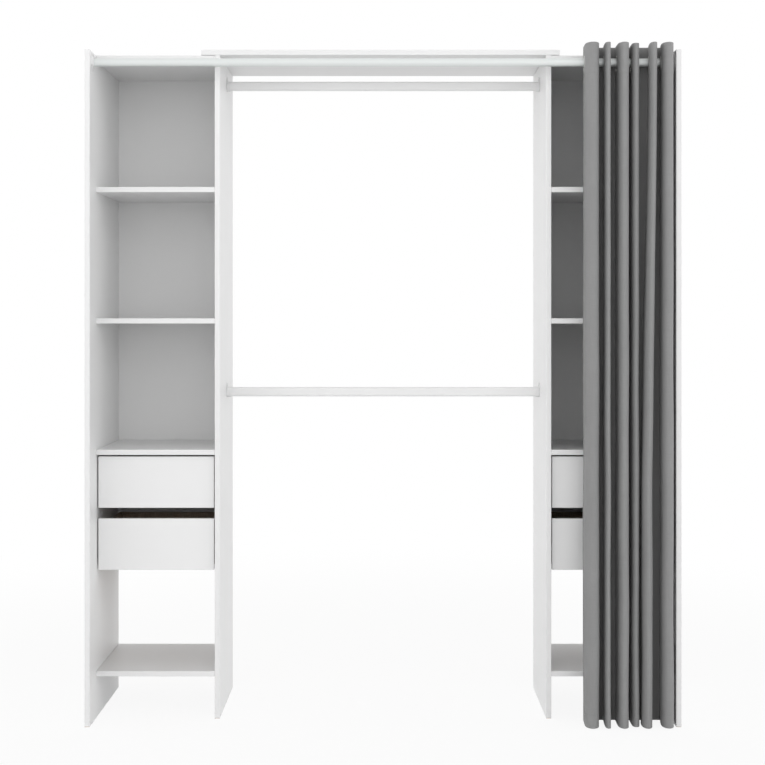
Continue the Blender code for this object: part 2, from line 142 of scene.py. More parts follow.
# %% Fields, which operators join
class Field:
    """One output socket of a node tree, which Python's operators can join to others."""

    def __init__(self, graph, socket):
        self.graph = graph
        self.socket = socket

    def maths(self, operation, *values):
        """A Math node on some values, of which this field is one."""
        return self.graph.node("ShaderNodeMath", dict(enumerate(values)), operation=operation)

    def __add__(self, other):
        return self.maths("ADD", self, other)

    __radd__ = __add__

    def __sub__(self, other):
        return self.maths("SUBTRACT", self, other)

    def __rsub__(self, other):
        return self.maths("SUBTRACT", other, self)

    def __mul__(self, other):
        return self.maths("MULTIPLY", self, other)

    __rmul__ = __mul__

    def __gt__(self, other):
        return self.maths("GREATER_THAN", self, other)

    def __lt__(self, other):
        return self.maths("LESS_THAN", self, other)

    def __abs__(self):
        return self.maths("ABSOLUTE", self)

    def sine(self):
        return self.maths("SINE", self)

    def larger(self, other):
        return self.maths("MAXIMUM", self, other)


print("a field takes + - * < > and abs")


# %% Graphs
class Graph:
    """A node tree that is built by calls."""

    def __init__(self, tree):
        self.tree = tree

    def node(self, kind, sockets=(), output=0, **settings):
        """Adds a node, makes its settings, feeds its sockets and gives one output."""
        made = self.tree.nodes.new(kind)
        for name, value in settings.items():
            setattr(made, name, value)
        for name, value in dict(sockets).items():
            self.feed(made.inputs[name], value)
        return Field(self, made.outputs[output])

    def feed(self, socket, value):
        """Links a field to a socket, or sets a plain value on it."""
        if isinstance(value, Field):
            self.tree.links.new(value.socket, socket)
        else:
            socket.default_value = value

    def parts(self, vector):
        """The X, Y and Z of a vector."""
        split = self.node("ShaderNodeSeparateXYZ", {"Vector": vector}).socket.node
        return [Field(self, split.outputs[axis]) for axis in "XYZ"]


print("a graph adds a node for each call")

# %% [markdown]
# ## Finishes
#
# Each finish is a Principled shader with a few patterns in front of it. The
# patterns read Object coordinates, which here are metres in the wardrobe's
# own frame, or the cloth's own UV map. What is the same all over a surface is
# set on the shader itself.


# %% Patterns
class Patterns(Graph):
    """A node tree with the patterns that finishes are made of."""

    def place(self):
        """Where a point is, in metres in the wardrobe's frame."""
        return self.node("ShaderNodeTexCoord", output="Object")

    def facing(self):
        """Which way the surface looks, as its X, Y and Z parts."""
        return self.parts(self.node("ShaderNodeNewGeometry", output="True Normal"))

    def stretched(self, vector, scale):
        """A place with each axis multiplied, so that a pattern can be long one way."""
        return self.node("ShaderNodeVectorMath", {0: vector, 1: scale}, operation="MULTIPLY")

    def noise(self, vector, scale, detail=2.0):
        """Soft random values round 0.5, scale patches to a metre."""
        return self.node("ShaderNodeTexNoise", {"Vector": vector, "Scale": scale, "Detail": detail})

    def threads(self, vector, scale, first_stretch, second_stretch):
        """Long soft streaks two ways, half of each."""
        first = self.noise(self.stretched(vector, first_stretch), scale, 3.0)
        second = self.noise(self.stretched(vector, second_stretch), scale, 3.0)
        return 0.5 * first + 0.5 * second

    def cells(self, vector, scale, output="Distance"):
        """Random cells, scale to a metre: the distance to a cell's point, or its colour."""
        return self.node("ShaderNodeTexVoronoi", {"Vector": vector, "Scale": scale}, output)


print("patterns: noise, threads and cells")


# %% A finish
class Finish(Patterns):
    """A material with a Principled shader."""

    def __init__(self, name, **constants):
        self.material = bpy.data.materials.new(name)
        self.material.use_nodes = True
        super().__init__(self.material.node_tree)
        self.shader = self.tree.nodes["Principled BSDF"]
        self.set(**constants)

    def set(self, **values):
        """Feeds the shader's sockets, with an underline for each space in their names."""
        for socket, value in values.items():
            self.feed(self.shader.inputs[socket.replace("_", " ")], value)

    def ramp(self, value, spread, *colours):
        """Three colours, for values a spread below 0.5, at it and a spread above it."""
        ramp = self.node("ShaderNodeValToRGB", {0: value})
        elements = ramp.socket.node.color_ramp.elements
        elements.new(1.0)
        for element, place, colour in zip(elements, (0.5 - spread, 0.5, 0.5 + spread), colours):
            element.position = place
            element.color = colour
        return ramp

    def mix(self, mask, first, second):
        """The first colour where mask is 0, and the second where it is 1."""
        return self.node("ShaderNodeMix", {0: mask, 6: first, 7: second}, 2, data_type="RGBA")

    def relief(self, height, distance, strength=1.0):
        """Bumps the surface by a height of 0 to 1 times a distance in metres."""
        sockets = {"Height": height, "Distance": distance, "Strength": strength}
        self.set(Normal=self.node("ShaderNodeBump", sockets))


print("a finish feeds a Principled shader")

# %% [markdown]
# ## Floor and light
#
# The photograph has a white ground with no horizon, and a soft light that
# leaves the inside of the shelves grey. The faces in the open gap are as
# bright as the fronts and the low shelf is dim, so the light comes from
# around more than from above: a studio with lit walls. The world gives it by
# the direction of each ray, most from the sides and little from behind.
#
# What the camera sees is set apart from what lights the wardrobe. It sees
# plain white, and on the floor also a part of the real shading, which keeps
# the shadow under the wardrobe and fades out around it.

# %% White surroundings
WHITE = (1.0, 1.0, 1.0, 1.0)
overhead_level = 0.25
wall_level = 1.42
side_wall_extra = 0.85

world = bpy.data.worlds.new("studio")
world.use_nodes = True
bpy.context.scene.world = world
sky = Graph(world.node_tree)
sky.tree.nodes.clear()


def seen(graph):
    """1 on rays that show something to the camera, straight, in a gloss or through glass."""
    path = graph.node("ShaderNodeLightPath").socket.node
    kinds = ("Is Camera Ray", "Is Glossy Ray", "Is Transmission Ray")
    straight, gloss, glass = (Field(graph, path.outputs[kind]) for kind in kinds)
    return straight.larger(gloss).larger(glass)


sideways, behind, above = sky.parts(sky.node("ShaderNodeTexCoord", output="Generated"))
walls = wall_level * (1 - behind.larger(0)) + side_wall_extra * abs(sideways)
level = overhead_level + walls * (1 - above)
lighting = sky.node("ShaderNodeBackground", {"Color": WHITE, "Strength": level})
shown = sky.node("ShaderNodeBackground", {"Color": WHITE, "Strength": 1.0})
both = sky.node("ShaderNodeMixShader", {0: seen(sky), 1: lighting, 2: shown})
world_end = sky.tree.nodes.new("ShaderNodeOutputWorld")
sky.feed(world_end.inputs["Surface"], both)
bpy.context.scene.view_settings.view_transform = "Standard"
print("light from", overhead_level, "overhead to", overhead_level + wall_level, "in front")

# %% The floor
floor_side = 24.0
shadow_share = 0.1
shadow_full = 1.3
shadow_gone = 3.6

end = floor_side / 2
floor_mesh = bpy.data.meshes.new("floor")
floor_corners = [(-end, -end, 0), (end, -end, 0), (end, end, 0), (-end, end, 0)]
floor_mesh.from_pydata(floor_corners, [], [(0, 1, 2, 3)])
floor = put("floor", floor_mesh)

pale = Finish("pale_floor", Base_Color=grey(246), Roughness=0.9)
distance = pale.node("ShaderNodeVectorMath", {0: pale.place()}, "Value", operation="LENGTH")
fade = {"From Min": shadow_full, "From Max": shadow_gone, "To Min": shadow_share, "To Max": 0.0}
kept_shading = pale.node("ShaderNodeMapRange", {"Value": distance, **fade}, interpolation_type="SMOOTHSTEP")
glow = pale.node("ShaderNodeEmission", {"Color": WHITE, "Strength": 1.0})
shaded = Field(pale, pale.shader.outputs[0])
floor_look = pale.node("ShaderNodeMixShader", {0: seen(pale) * (1 - kept_shading), 1: shaded, 2: glow})
pale.feed(pale.tree.nodes["Material Output"].inputs["Surface"], floor_look)
floor_mesh.materials.append(pale.material)
floor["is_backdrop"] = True
print("floor", floor_side, "m square, shading gone at", shadow_gone, "m")

# %% A wide soft lamp in front
lamp_side = 3.2
lamp_power = 7.0
lamp_place = Vector((0.9, -4.2, 3.0))
lamp_target = Vector((0, 0, 1))

lamp_data = bpy.data.lights.new("front_lamp", "AREA")
lamp_data.shape = "SQUARE"
lamp_data.size = lamp_side
lamp_data.energy = lamp_power
lamp = put("front_lamp", lamp_data)
lamp.location = lamp_place
lamp.rotation_euler = (lamp_target - lamp_place).to_track_quat("-Z", "Y").to_euler()
print("lamp", lamp_power, "W")

# %% [markdown]
# ## Faced board
#
# The boards are chipboard between two sheets of white melamine, with a white
# edging glued on the edges that show. The facing has a fine pearl grain that
# breaks up the gloss, and the edging meets it in a hairline of glue. The rear
# edges and the feet are left raw, so there the chips show. A pattern in
# metres fits every piece, because it asks each point where it is and which
# way it looks.

# %% Faced board finish
pearl_scale = 420.0
pearl_depth = 0.00006
chip_scale = 430.0
cloud_scale = 5.0
smudge_scale = 11.0
cloud_tone, edging_tone, glue_tone = 3, -4, -16
edging_thickness = 0.0010
glue_line = 0.0004
raw_depth = 0.0012
board_low, board_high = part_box("left_divider")
board_front = board_low.y
rear_edge = board_high.y - raw_depth


def chipboard(finish, place):
    """The pressed chips that show where a board has no edging."""
    chips = finish.cells(finish.stretched(place, (1.0, 1.0, 0.6)), chip_scale, "Color")
    return finish.ramp(chips, 0.35, paint(168, 139, 104), paint(192, 164, 127), paint(210, 185, 148))


def faced_board(name, faces_along, front, tone=230):
    """White faced board whose broad faces look along an axis and whose edging lies at y = front."""
    finish = Finish(name, IOR=1.5)
    place = finish.place()
    edge = abs(finish.facing()[faces_along]) < 0.5
    _, deep, high = finish.parts(place)
    raw = edge * (deep > rear_edge).larger(high < raw_depth)
    joint = (1 - edge) * (abs(deep - front - edging_thickness) < glue_line / 2)
    clouds = finish.noise(place, cloud_scale)
    facing_colour = finish.mix(clouds, grey(tone), grey(tone + cloud_tone))
    edging_colour = finish.mix(clouds, grey(tone + edging_tone), grey(tone + edging_tone + cloud_tone))
    covered = finish.mix(edge, facing_colour, edging_colour)
    covered = finish.mix(joint, covered, grey(tone + glue_tone))
    finish.set(Base_Color=finish.mix(raw, covered, chipboard(finish, place)))
    pearl = finish.noise(place, pearl_scale, 3.0)
    smudges = finish.noise(place, smudge_scale, 4.0)
    finish.set(Roughness=0.34 + 0.1 * pearl + 0.08 * smudges + 0.35 * raw)
    finish.relief(pearl * (1 - raw) + raw * finish.cells(place, chip_scale), pearl_depth)
    return finish.material


print(f"raw behind {rear_edge:.3f} m, edging at {board_front:.3f} and {panel_front:.3f} m")


# %% The boards
def dress(finish, *patterns):
    """Gives the CAD pieces whose names fit a pattern a finish, in their material slots."""
    names = [name for name in nodes if any(fnmatch(name, p) for p in patterns)]
    for name in names:
        for slot in nodes[name].material_slots:
            slot.material = finish
    print(finish.name, "on", len(names), "pieces")


dress(faced_board("deep_panel", 0, panel_front), "*_outer_panel")
dress(faced_board("standing_board", 0, board_front), "*_divider")
dress(faced_board("lying_board", 2, board_front), "*_shelf_*", "*_top_panel", "top_board")
dress(faced_board("drawer_board", 1, board_front, tone=229), "*_front")

# %% [markdown]
# ## Hardboard backs and drawer bottoms
#
# A thin back is pressed wood fibre. One side is painted white and looks into
# the room. The other is left brown and bears the print of the wire screen on
# which the wet fibre was pressed: two sines multiplied, one across the board
# and one up it.

# %% Hardboard finish
screen_pitch = 0.0024
fibre_scale = 190.0
peel_scale = 160.0
hardboard_depth = 0.0002


def hardboard(name, painted_axis, painted_sign):
    """Hardboard that is white on the side that looks along one axis, and brown elsewhere."""
    finish = Finish(name)
    place = finish.place()
    painted = finish.facing()[painted_axis] * painted_sign > 0.5
    fibres = finish.noise(finish.stretched(place, (1.0, 1.0, 0.7)), fibre_scale, 4.0)
    patches = finish.noise(place, 3.0, 3.0)
    browns = (paint(128, 98, 70), paint(139, 108, 78), paint(149, 118, 87))
    brown = finish.ramp(fibres * 0.6 + patches * 0.4, 0.15, *browns)
    white = finish.mix(finish.noise(place, 4.0), grey(226), grey(230))
    finish.set(Base_Color=finish.mix(painted, brown, white), Roughness=0.75 - 0.3 * painted)
    across, deep, high = finish.parts(place)
    upright = deep if painted_axis == 2 else high
    turn = math.tau / screen_pitch
    screen = (across * turn).sine() * (upright * turn).sine() * 0.5 + 0.5
    orange_peel = finish.noise(place, peel_scale) * 0.3
    finish.relief(orange_peel * painted + screen * (1 - painted), hardboard_depth)
    return finish.material


dress(hardboard("back_board", 1, -1), "*_back_panel")
dress(hardboard("drawer_base", 2, 1), "*_drawer_*_bottom")

# %% [markdown]
# ## Drawer boxes
#
# The sides and back of each drawer are one strip of chipboard in a printed
# foil, grooved at the corners and folded. Through the slit between the
# drawers the photograph shows a warm brown shade where the boards are white,
# so the foil is a taupe with the fine cross lines of a linen print.

# %% Linen foil finish
linen_scale = 330.0
linen_stretch = 0.12
linen_depth = 0.0001

foil = Finish("linen_foil")
level_way, upright_way = (linen_stretch, linen_stretch, 1.0), (1.0, 1.0, linen_stretch)
linen = foil.threads(foil.place(), linen_scale, level_way, upright_way)
taupe = foil.ramp(linen, 0.15, paint(150, 130, 112), paint(170, 150, 131), paint(186, 168, 150))
foil.set(Base_Color=taupe, Roughness=0.45 + 0.15 * linen)
foil.relief(linen, linen_depth)
dress(foil.material, "*_box")

# %% [markdown]
# ## Tubes, plastic and metal
#
# The rail and the rods are steel tube in a white powder coat, which flows out
# to a fine orange peel. The photograph shows the rail quite light even between
# the curtain's folds, where little light falls, so its coat has some metal in
# it. Sockets, brackets and runners are moulded plastic, softly frosted. Screws
# and cams are zinc, and the eyelets are nickel: on metal the shine itself has
# the colour, so its patches differ in both.

# %% Powder coated tube
coat_peel_scale = 300.0
coat_depth = 0.00005


def powder_coat(name, dark, light, metal=0.0):
    """A smooth white coat that flowed a little unevenly."""
    finish = Finish(name, Metallic=metal, Coat_Weight=0.2, Coat_Roughness=0.15)
    place = finish.place()
    peel = finish.noise(place, coat_peel_scale)
    tone = finish.noise(finish.stretched(place, (0.5, 4.0, 4.0)), 8.0)
    finish.set(Base_Color=finish.mix(tone, dark, light), Roughness=0.27 + 0.1 * peel)
    finish.relief(peel, coat_depth)
    return finish.material


dress(powder_coat("rail_coat", paint(217, 221, 220), paint(221, 224, 223), metal=0.35), "curtain_rail")
dress(powder_coat("rod_coat", grey(228), grey(232)), "*_rod")

# %% Moulded plastic
frost_scale = 700.0
frost_depth = 0.00004

plastic = Finish("moulded_plastic")
place = plastic.place()
frost = plastic.noise(place, frost_scale)
milky = plastic.mix(plastic.noise(place, 30.0), grey(223), grey(229))
plastic.set(Base_Color=milky, Roughness=0.36 + 0.12 * frost)
plastic.relief(frost, frost_depth)
dress(plastic.material, "*_bracket_*", "*_socket_*", "*_runner_*")

# %% Zinc and nickel
spangle_scale = 500.0


def plated(name, light, dark):
    """Plated metal with small patches, each a little duller or shinier."""
    finish = Finish(name, Metallic=1.0)
    spangle = finish.noise(finish.place(), spangle_scale)
    finish.set(Base_Color=finish.mix(spangle, dark, light), Roughness=0.3 + 0.25 * spangle)
    return finish.material


zinc = plated("zinc", paint(196, 196, 192), paint(160, 160, 157))
nickel = plated("nickel", paint(207, 207, 205), paint(178, 178, 177))
print("metals:", zinc.name, "and", nickel.name)

# %% [markdown]
# ## The curtain's folds
#
# The curtain hangs on the rail by twelve eyelets, one in each wall of its six
# folds. Seen from above, the cloth comes round a narrow valley behind the
# rail, runs forward, rounds a nose in front of the rail and runs back. The
# photograph looks up at the top edge and down at the hem, so both edges show
# this line, and the widths below follow it. They are the CAD folds' own
# values, from the fold beside the right panel to the leading one. The CAD
# walls are straight. Here the left wall of each fold comes in a little behind
# the nose, as if the curtain had been pushed together from the left.
#
# Such a shape could come from a cloth simulation, but a simulated bunch never
# lands on the photographed folds. It is drawn as a line in plan instead, at
# many heights, and the heights are joined.

# %% The folds' sizes
cloth = 0.0010
bunch_side_gap = 0.00835
bunch_width = 0.264
fold_width_shares = (0.130, 0.094, 0.076, 0.119, 0.058, 0.155)
fold_gap_shares = (0.087, 0.079, 0.042, 0.095, 0.065)
fold_reach_shares = (0.96, 1.0, 0.73, 1.0, 0.98, 1.0)
fold_lean_shares = (0.0, 0.066, 0.0, 0.0, 0.0, 0.0)
fold_narrowing_shares = (0.005, 0.039, 0.0, 0.0, 0.0, 0.006)
fold_neck_shares = (0.026, 0.026, 0.008, 0.006, 0.019, 0.009)
lean_start_share = 0.28
front_reach = 0.070
wall_reach = 0.034
back_reach = 0.0325
nose_slenderness = 2.6
valley_corner = 0.004

rail_low, rail_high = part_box("curtain_rail")
rail_y = (rail_low.y + rail_high.y) / 2
hem_z, top_z = (corner.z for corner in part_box("curtain_fold_1"))
bunch_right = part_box("right_outer_panel")[0].x - bunch_side_gap
fold_count = len(fold_width_shares)
print(f"{fold_count} folds, {bunch_width:.3f} m wide, {top_z - hem_z:.3f} m high")


# %% Where each fold's edges lie
def gentle(share):
    """A share from 0 to 1 that leaves 0 and reaches 1 gently."""
    share = np.clip(share, 0, 1)
    return share * share * (3 - 2 * share)


def fold_edges(rise):
    """The right and left edge of each fold at a share of the height."""
    edges = []
    x = bunch_right
    lean = gentle((rise - lean_start_share) / (1 - lean_start_share)) - 1 / 2
    for number, width in enumerate(fold_width_shares):
        shift = bunch_width * fold_lean_shares[number] * lean
        pinch = bunch_width * fold_narrowing_shares[number] * lean / 2
        edges.append((x + shift - pinch, x + shift - bunch_width * width + pinch))
        x -= bunch_width * (width + (*fold_gap_shares, 0)[number])
    return edges


print("half way up, widths in mm:", [round(1000 * (right - left)) for right, left in fold_edges(0.5)])


# %% Straight stretches and arcs
def along(start, end, steps):
    """Points on a straight line, without the last."""
    return [tuple(np.array(start) + (np.array(end) - start) * i / steps) for i in range(steps)]


def arc(centre, radii, start, end, steps):
    """Points on an arc, with its radii across and ahead, without the last."""
    angles = [start + (end - start) * i / steps for i in range(steps)]
    return [(centre[0] + radii[0] * math.cos(a), centre[1] + radii[1] * math.sin(a)) for a in angles]


valley_steps, corner_steps, wall_steps, nose_steps = 2, 4, 14, 14
half_columns = valley_steps + corner_steps + wall_steps + nose_steps
valley_back = rail_y + back_reach - cloth / 2
corner_front = valley_back - valley_corner
print(half_columns, "points to half a fold")


# %% Half a fold
def valley_half(number, rise, side, wall):
    """From a valley's middle round its corner to the wall, or straight forward at the curtain's ends."""
    neighbour = number - side
    if not 0 <= neighbour < fold_count:
        return along((wall, valley_back), (wall, corner_front), valley_steps + corner_steps)
    edges = fold_edges(rise)
    facing_edge = 1 if side > 0 else 0
    middle = (edges[number][1 - facing_edge] + edges[neighbour][facing_edge]) / 2
    centre = wall + side * valley_corner
    wall_angle = math.pi if side > 0 else 0
    level = along((middle, valley_back), (centre, valley_back), valley_steps)
    return level + arc((centre, corner_front), (valley_corner,) * 2, math.pi / 2, wall_angle, corner_steps)


def wall_line(back, front):
    """Points forward along a wall, straight at the nose and turned in gently at its back."""
    turns = [math.pi / 2 * i / wall_steps for i in range(wall_steps)]
    deep = np.linspace(back[1], front[1], wall_steps, endpoint=False)
    return [(back[0] + (front[0] - back[0]) * math.sin(turn), y) for turn, y in zip(turns, deep)]


def half_fold(number, rise, side):
    """From the middle of a valley to just before the tip of the nose. side is 1 right and -1 left."""
    right, left = fold_edges(rise)[number]
    right, left = right - cloth / 2, left + cloth / 2
    reach = front_reach * fold_reach_shares[number] - cloth / 2
    nose = min(nose_slenderness * (right - left) / 2, reach - wall_reach)
    nose_back = rail_y - reach + nose
    wall = right if side > 0 else left
    neck = 0 if side > 0 else bunch_width * fold_neck_shares[number]
    points = valley_half(number, rise, side, wall + neck)
    points += wall_line((wall + neck, corner_front), (wall, nose_back))
    wall_angle = 0 if side > 0 else -math.pi
    middle, half = (right + left) / 2, (right - left) / 2
    return points + arc((middle, nose_back), (half, nose), wall_angle, -math.pi / 2, nose_steps)


print("a half fold starts at", [round(float(v), 4) for v in half_fold(1, 0.5, 1)[0]])


# %% The whole line in plan
def curtain_line(rise):
    """The whole curtain's line in plan, from its right end to its leading edge."""
    points = []
    for number, (right, left) in enumerate(fold_edges(rise)):
        tip_y = rail_y - front_reach * fold_reach_shares[number] + cloth / 2
        points += half_fold(number, rise, 1)
        points.append(((right + left) / 2, tip_y))
        points += half_fold(number, rise, -1)[:0:-1]
    points.append(half_fold(number, rise, -1)[0])
    return points


print(len(curtain_line(0.5)), "points across the curtain")

# %% [markdown]
# ## Heights and small uneven waves
#
# The cloth is plain in the middle and busy at its ends, so the heights stand
# close together at the hem and round the eyelets, and further apart between.
# Hung cloth is never quite straight: each fold wanders by up to a millimetre,
# more towards the floor than at the stiff heading. The wander goes only
# sideways, so that the curtain still opens evenly when it is drawn.

# %% The cloth as a grid of points
hem_height = 0.040
heading_height = 0.092
cell = 0.0045
middle_rows = 66

hem_line = hem_z + hem_height
heading_line = top_z - heading_height
heights = np.concatenate(
    [
        hem_z + np.array([0.0, 0.0015, 0.005, 0.015, 0.028]),
        hem_line + np.array([-0.005, -0.0018, 0.0, 0.0018, 0.005]),
        np.linspace(hem_line + 0.015, heading_line - 0.012, middle_rows),
        heading_line + np.array([-0.004, -0.0016, 0.0, 0.0016]),
        np.arange(heading_line + 0.005, top_z - 0.006, cell),
        top_z - np.array([0.004, 0.0015, 0.0]),
    ]
)
plan = np.array([curtain_line((z - hem_z) / (top_z - hem_z)) for z in heights])
grid = np.concatenate([plan, np.repeat(heights[:, None, None], plan.shape[1], 1)], 2)
step_lengths = np.linalg.norm(np.diff(plan.mean(0), axis=0), axis=1)
across = np.concatenate([[0], np.cumsum(step_lengths)])
print(f"flat cloth {across[-1]:.3f} x {top_z - hem_z:.3f} m, {grid.shape[0]} x {grid.shape[1]} points")

# %% Waves and the way that the cloth faces
wave = 0.0007
long_height, long_slant = 0.71, 2.3
short_height, short_slant = 0.39, -3.7
short_start = 1.0
short_share = 0.6
stiff_below_heading = 0.05
freeing_height = 1.3

freedom = gentle((heading_line - stiff_below_heading - heights) / freeing_height)[:, None]
s, z = np.meshgrid(across, heights)
long_waves = np.sin(math.tau * (z / long_height + long_slant * s))
short_waves = np.sin(math.tau * (z / short_height + short_slant * s) + short_start)
grid[:, :, 0] += wave * freedom * (long_waves + short_share * short_waves)

rightwards = np.gradient(grid, across, axis=1)
upwards = np.gradient(grid, heights, axis=0)
normals = np.cross(upwards, rightwards)
normals = normals / np.linalg.norm(normals, axis=2, keepdims=True)
print(f"waves of up to {1000 * wave * (1 + short_share):.1f} mm at the hem")

# %% [markdown]
# ## Woven cloth
#
# A plain weave is two sets of threads that pass over and under each other.
# From the camera it reads as an even grey with a faint grain both ways, so
# the finish has long soft streaks for the yarns' uneven thickness, a fine
# grid for the weave and a short nap. It reads the cloth's own UV map, in
# metres on the flat cloth, so the threads follow every fold.

# %% Cloth finish
thread_pitch = 0.0009
yarn_scale = 800.0
yarn_stretch = 0.03
weave_depth = 0.00012

weave = Finish("woven_cloth", Sheen_Weight=0.12, Sheen_Roughness=0.5)
on_cloth = weave.node("ShaderNodeUVMap", uv_map="flat")
yarns = weave.threads(on_cloth, yarn_scale, (1.0, yarn_stretch, 1.0), (yarn_stretch, 1.0, 1.0))
tone = yarns * 0.7 + weave.noise(on_cloth, 7.0) * 0.3
weave.set(Base_Color=weave.ramp(tone, 0.2, grey(130), grey(136), grey(142)))
weave.set(Roughness=0.86 + 0.1 * yarns)
right, up, _ = weave.parts(on_cloth)
turn = math.pi / thread_pitch
over = (right * turn).sine() * (up * turn).sine() * 0.5 + 0.5
weave.relief(over * 0.5 + yarns * 0.5, weave_depth, 0.6)
print("cloth threads every", thread_pitch * 1000, "mm")

# %% Sewing thread
twist_scale = 900.0

sewing = Finish("sewing_thread", Roughness=0.7)
twist = sewing.noise(sewing.place(), twist_scale)
sewing.set(Base_Color=sewing.mix(twist, grey(112), grey(133)))
print("sewn with", sewing.material.name)

# %% [markdown]
# ## Cut at the noses and the valleys
#
# When the curtain is drawn, it opens between sliding bodies. One blend can
# carry a piece from one body to the next in one direction only, and a fold
# goes forward and comes back, so each fold is two pieces that meet at the tip
# of the nose. Every piece is a closed thin shell with its eyelet hole cut. In
# the valleys, where two pieces meet, its edge is thin, so nothing opens
# behind the join. The pieces take their normals from the whole curtain, so
# the light runs over the joins.

# %% Front and rear skin of the cloth
side_hem = 0.015
hem_extra_share = 0.7
hem_step = 0.002
join_share = 0.06


def past(places, line):
    """0 before a line and 1 past it, with a short gentle step between."""
    return gentle((places - line) / hem_step + 0.5)


# The cloth is thicker where a hem is turned in.
turned = past(hem_line, heights) + past(heights, heading_line)
ends = past(side_hem, across) + past(across, across[-1] - side_hem)
thickness = cloth * (1 + hem_extra_share * np.maximum(turned[:, None], ends[None, :]))

# It nearly vanishes at the valley joins, but not at the curtain's two ends.
column = np.arange(grid.shape[1])
to_join = abs((column + half_columns) % (2 * half_columns) - half_columns)
to_join[column < half_columns] = half_columns
to_join[column >= grid.shape[1] - half_columns] = half_columns
backing = np.clip(to_join / 2, join_share, 1)

front_skin = cloth / 2 + (thickness - cloth) / 2 * backing
rear_skin = front_skin - thickness * backing
print(f"cloth {1000 * cloth:.1f} mm, hems {1000 * thickness.max():.1f} mm thick")

# %% A round hole in a grid
eyelet_bore = 0.040
hole_margin = 0.0025
hang_gap = 0.0003
hole_radius = eyelet_bore / 2 + hole_margin
eyelet_z = rail_high.z + hang_gap - eyelet_bore / 2


def eyelet_place(first):
    """Where a half fold's wall crosses the rail's axis at the ring's height, and its turn there."""
    row = int(np.argmin(abs(heights - eyelet_z)))
    wall = grid[row, first : first + half_columns + 1]
    order = np.argsort(wall[:, 1])
    depths = [rail_y + step * hole_radius for step in (-1, 0, 1)]
    front_x, middle_x, back_x = np.interp(depths, wall[order, 1], wall[order, 0])
    turn = math.atan2(front_x - back_x, 2 * hole_radius)
    return Vector((float(middle_x), rail_y, eyelet_z)), turn


def corners_of(cells):
    """The points at the corners of the cells that are picked."""
    rows, columns = cells.shape
    points = np.zeros((rows + 1, columns + 1), bool)
    for up, right in ((0, 0), (0, 1), (1, 0), (1, 1)):
        points[up : up + rows, right : right + columns] |= cells
    return points


def with_hole(points, centre):
    """A grid whose points beside a hole lie on its round edge, and the cells outside the hole."""
    out = points[:, :, 1:] - (centre.y, centre.z)
    radius = np.linalg.norm(out, axis=2)
    cell_radius = (radius[:-1, :-1] + radius[1:, :-1] + radius[:-1, 1:] + radius[1:, 1:]) / 4
    kept = cell_radius > hole_radius
    edge = corners_of(kept) & corners_of(~kept)
    points = points.copy()
    points[edge, 1:] = (centre.y, centre.z) + out[edge] * hole_radius / radius[edge][:, None]
    return points, kept


print(f"holes {2000 * hole_radius:.0f} mm wide, centres at {eyelet_z:.4f} m")


# %% A closed shell of two skins
def shell(name, front, rear, kept):
    """A closed mesh between two grids, its corners' places in the grid and its faces to a side."""
    rows, columns = front.shape[:2]
    total = rows * columns
    at = np.arange(total).reshape(rows, columns)
    quads = np.stack([at[:-1, :-1], at[1:, :-1], at[1:, 1:], at[:-1, 1:]], 2)[kept]
    edges = {(int(a), int(b)) for quad in quads for a, b in zip(quad, np.roll(quad, -1))}
    rim = [(b, a, a + total, b + total) for a, b in sorted(edges) if (b, a) not in edges]
    faces = np.concatenate([quads, quads[:, ::-1] + total, rim])
    used, corners = np.unique(faces, return_inverse=True)
    points = np.concatenate([front.reshape(-1, 3), rear.reshape(-1, 3)])[used]
    mesh = bpy.data.meshes.new(name)
    mesh.from_pydata(points, [], corners.reshape(faces.shape).tolist())
    return mesh, faces % total, len(quads)


print("a shell has a front, a rear and a rim")


# %% The curtain's normals and its flat map
def soften(mesh, facing, place, side_faces):
    """Gives a shell's two broad sides the whole curtain's normals, and its rim its own."""
    corner_normals = facing.reshape(-1, 3)[place]
    corner_normals[side_faces : 2 * side_faces] *= -1
    own = np.array([face.normal for face in mesh.polygons])[:, None]
    corner_normals[2 * side_faces :] = own[2 * side_faces :]
    mesh.polygons.foreach_set("use_smooth", [True] * len(mesh.polygons))
    mesh.normals_split_custom_set(corner_normals.reshape(-1, 3).tolist())


def unroll(mesh, place, first):
    """Maps a shell to where it lies on the flat cloth, in metres."""
    row, column = np.divmod(place.ravel(), half_columns + 1)
    flat = np.column_stack([across[first + column], heights[row]])
    mesh.uv_layers.new(name="flat").data.foreach_set("uv", flat.ravel())


print("every face of a shell has four corners")

# %% Twelve half folds
halves = []


def half_piece(name, first, centre):
    """Half a fold of cloth from a column of the grid on, with a hole round a centre."""
    columns = slice(first, first + half_columns + 1)
    middle, kept = with_hole(grid[:, columns], centre)
    facing = normals[:, columns]
    front = middle + facing * front_skin[:, columns, None]
    rear = middle + facing * rear_skin[:, columns, None]
    mesh, place, side_faces = shell(name, front, rear, kept)
    soften(mesh, facing, place, side_faces)
    unroll(mesh, place, first)
    mesh.materials.append(weave.material)
    return put(name, mesh)


for number in range(fold_count):
    for side, word in ((1, "right"), (-1, "left")):
        first = len(halves) * half_columns
        name = f"{number + 1}_{word}"
        centre, turn = eyelet_place(first)
        half = SimpleNamespace(name=name, fold=number, side=side, first=first, eyelet=centre, turn=turn)
        half.piece = half_piece("cloth_" + name, first, centre)
        halves.append(half)
print(len(halves), "half folds,", sum(len(half.piece.data.polygons) for half in halves), "faces")

# %% [markdown]
# ## Geometry Nodes for what repeats
#
# Eyelets, stitches and fasteners are small shapes that repeat. Each kind is a
# Geometry Nodes tree with its sizes as named inputs. The tree is put on a
# carrier object, its result is taken as a plain mesh, and the carrier goes.


